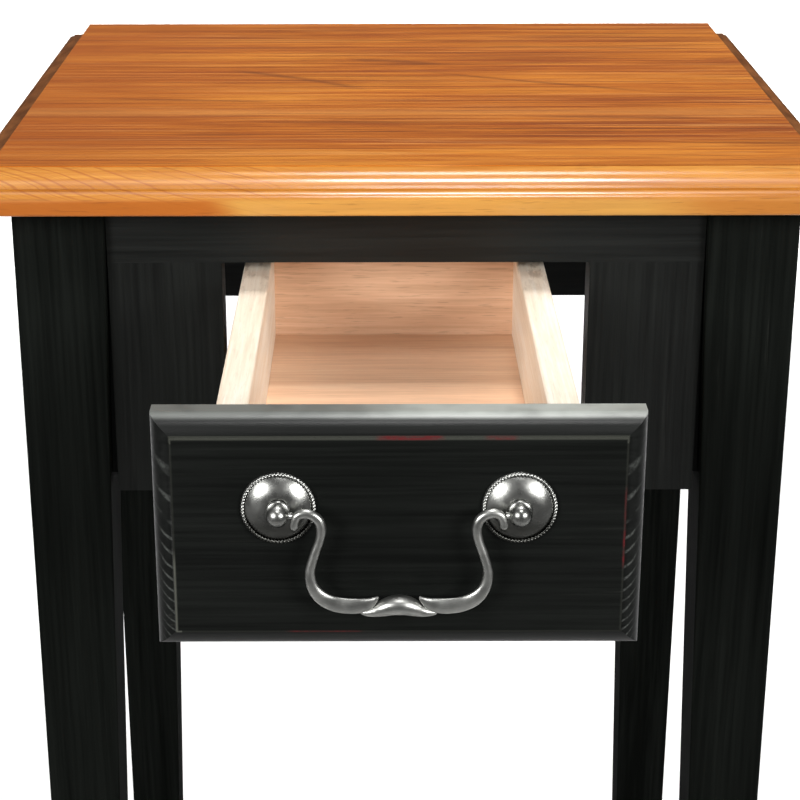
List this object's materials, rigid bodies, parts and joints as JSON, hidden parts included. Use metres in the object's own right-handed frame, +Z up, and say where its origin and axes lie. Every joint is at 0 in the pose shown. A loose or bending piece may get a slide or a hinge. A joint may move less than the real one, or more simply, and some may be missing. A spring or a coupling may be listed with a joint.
{
  "type": "side table",
  "caption": "Small square side table with tapered legs, a moulded wood top and a drawer on wood runners, opened by a swinging bail pull.",
  "frame": {"origin": "on the floor under the middle of the square top", "axes": "+Z up through the top, +X along the table's width to the viewer's right, -Y the way the drawer opens"},
  "size_m": [0.386, 0.5878, 0.61],
  "materials": {
    "top_wood": "russet stained hardwood boards under gloss lacquer",
    "black_paint": "satin black paint on open-grained hardwood, lightly rubbed through",
    "drawer_box_wood": "pink-tan hardwood under thin matt lacquer",
    "drawer_side_wood": "pale cream hardwood under thin matt lacquer",
    "hidden_wood": "plain unfinished softwood",
    "pewter": "antique pewter plating, polished with dark recesses",
    "screw_steel": "zinc plated",
    "glide_nylon": "off-white nylon"
  },
  "bodies": {
    "table": {"corner_block_screws": "screw_steel", "front_bottom_rail": "black_paint", "front_left_corner_block": "hidden_wood", "front_left_foot_glide": "glide_nylon", "front_left_leg": "black_paint", "front_left_stile": "black_paint", "front_right_corner_block": "hidden_wood", "front_right_foot_glide": "glide_nylon", "front_right_leg": "black_paint", "front_right_stile": "black_paint", "front_top_rail": "black_paint", "kicker_screws": "screw_steel", "left_drawer_kicker": "hidden_wood", "left_drawer_runner": "hidden_wood", "left_side_apron": "black_paint", "rear_apron": "black_paint", "rear_left_corner_block": "hidden_wood", "rear_left_foot_glide": "glide_nylon", "rear_left_leg": "black_paint", "rear_right_corner_block": "hidden_wood", "rear_right_foot_glide": "glide_nylon", "rear_right_leg": "black_paint", "right_drawer_kicker": "hidden_wood", "right_drawer_runner": "hidden_wood", "right_side_apron": "black_paint", "top_board_1": "top_wood", "top_board_2": "top_wood", "top_board_3": "top_wood", "top_board_4": "top_wood", "top_board_5": "top_wood", "top_screws": "screw_steel"},
    "drawer": {"drawer_back": "drawer_box_wood", "drawer_bottom": "drawer_box_wood", "drawer_bottom_brads": "screw_steel", "drawer_front": "black_paint", "drawer_front_screws": "screw_steel", "drawer_inner_front": "drawer_box_wood", "drawer_left_side": "drawer_side_wood", "drawer_right_side": "drawer_side_wood", "drawer_stop_screw": "screw_steel", "left_pull_post": "pewter", "left_rosette": "pewter", "pull_screws": "screw_steel", "right_pull_post": "pewter", "right_rosette": "pewter"},
    "bail": {"bail": "pewter"},
    "stop": {"drawer_stop": "hidden_wood"}
  },
  "joints": [
    {"name": "drawer_slide", "type": "slide", "parent": "table", "child": "drawer", "axis": [0, -1, 0], "range_m": [-0.19965, 0.0305]},
    {"name": "bail_swing", "type": "hinge", "parent": "drawer", "child": "bail", "pos_m": [-0.005, -0.3906, 0.535], "axis": [-1, 0, 0], "range_deg": [0, 85]},
    {"name": "stop_turn", "type": "hinge", "parent": "drawer", "child": "stop", "pos_m": [-0.005, -0.1112, 0.549], "axis": [0, 1, 0], "range_deg": [0, 90]}
  ]
}
